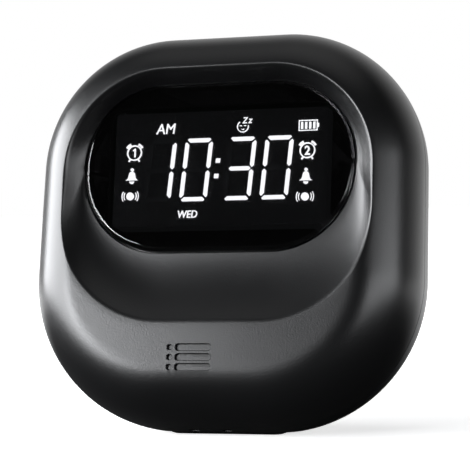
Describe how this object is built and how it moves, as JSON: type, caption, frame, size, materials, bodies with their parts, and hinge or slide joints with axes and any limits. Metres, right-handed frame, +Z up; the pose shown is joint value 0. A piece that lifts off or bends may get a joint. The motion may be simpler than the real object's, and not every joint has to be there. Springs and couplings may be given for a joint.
{
  "type": "vibrating alarm clock",
  "caption": "Rounded-square bedside alarm clock with a recessed oval digital display, sound outlet, rear buttons, snooze bar and an internal vibration motor.",
  "frame": {"origin": "middle of the rubber foot's underside, on the surface that the clock stands on", "axes": "+Z up, -Y out of the display side, +X to the right of a person reading the display"},
  "size_m": [0.1, 0.058, 0.0997],
  "materials": {
    "case_plastic": "satin black moulded plastic with a fine grain",
    "rear_plastic": "satin black moulded plastic",
    "lens_plastic": "polished smoke-black window",
    "display_black": "black display housing",
    "display_white": "lit white segments",
    "button_rubber": "matt black silicone",
    "foot_rubber": "matt black rubber",
    "board_laminate": "green circuit board",
    "component_black": "black component housings",
    "cream_plastic": "cream connector housings",
    "steel": "plain steel",
    "weight_metal": "heavy sintered metal",
    "nickel": "nickel strip",
    "brass_metal": "brass terminals",
    "magnet_metal": "magnet in its yoke",
    "cone_paper": "speaker cone",
    "foam": "closed-cell foam",
    "tape": "black adhesive tape",
    "cell_wrap": "blue cell sleeve",
    "lead_plastic": "insulated leads",
    "ribbon_plastic": "flat link strip"
  },
  "bodies": {
    "case": {"battery_band": "tape", "battery_cell": "cell_wrap", "battery_leads": "lead_plastic", "battery_tabs": "nickel", "board_components": "component_black", "board_link": "ribbon_plastic", "board_screws": "steel", "case_screws": "steel", "charge_socket": "steel", "clamp_screws": "steel", "digit_segments": "display_white", "display_housing": "display_black", "display_lens": "lens_plastic", "front_shell": "case_plastic", "lens_tape": "tape", "link_headers": "cream_plastic", "main_board": "board_laminate", "motor_can": "steel", "motor_clamp": "steel", "motor_end_cap": "component_black", "motor_leads": "lead_plastic", "motor_terminals": "brass_metal", "rear_board": "board_laminate", "rear_board_screws": "steel", "rear_shell": "rear_plastic", "rubber_foot": "foot_rubber", "socket_tongue": "component_black", "sound_insert": "case_plastic", "speaker_cone": "cone_paper", "speaker_frame": "steel", "speaker_gasket": "foam", "speaker_leads": "lead_plastic", "speaker_magnet": "magnet_metal", "switch_housings": "component_black"},
    "vibration_weight": {"motor_shaft": "steel", "eccentric_weight": "weight_metal"},
    "snooze": {"snooze_bar": "button_rubber", "snooze_plunger": "cream_plastic"},
    "mode": {"mode_button": "button_rubber", "mode_plunger": "cream_plastic"},
    "alarm_one": {"alarm_one_button": "button_rubber", "alarm_one_plunger": "cream_plastic"},
    "alarm_two": {"alarm_two_button": "button_rubber", "alarm_two_plunger": "cream_plastic"},
    "minus": {"minus_button": "button_rubber", "minus_plunger": "cream_plastic"},
    "plus": {"plus_button": "button_rubber", "plus_plunger": "cream_plastic"}
  },
  "joints": [
    {"name": "weight_spin", "type": "hinge", "parent": "case", "child": "vibration_weight", "pos_m": [0.006, 0.01085, 0.0485], "axis": [1, 0, 0], "continuous": true},
    {"name": "mode_press", "type": "slide", "parent": "case", "child": "mode", "axis": [0, -0.9781, 0.2079], "range_m": [0, 0.0004], "stiffness_N_per_m": 600, "springref_m": -0.0005},
    {"name": "alarm_one_press", "type": "slide", "parent": "case", "child": "alarm_one", "axis": [0, -0.9781, 0.2079], "range_m": [0, 0.0004], "stiffness_N_per_m": 600, "springref_m": -0.0005},
    {"name": "alarm_two_press", "type": "slide", "parent": "case", "child": "alarm_two", "axis": [0, -0.9781, 0.2079], "range_m": [0, 0.0004], "stiffness_N_per_m": 600, "springref_m": -0.0005},
    {"name": "minus_press", "type": "slide", "parent": "case", "child": "minus", "axis": [0, -0.9781, 0.2079], "range_m": [0, 0.0004], "stiffness_N_per_m": 600, "springref_m": -0.0005},
    {"name": "plus_press", "type": "slide", "parent": "case", "child": "plus", "axis": [0, -0.9781, 0.2079], "range_m": [0, 0.0004], "stiffness_N_per_m": 600, "springref_m": -0.0005},
    {"name": "snooze_press", "type": "slide", "parent": "case", "child": "snooze", "axis": [0, -0.2079, -0.9781], "range_m": [0, 0.0004], "stiffness_N_per_m": 600, "springref_m": -0.0005}
  ]
}
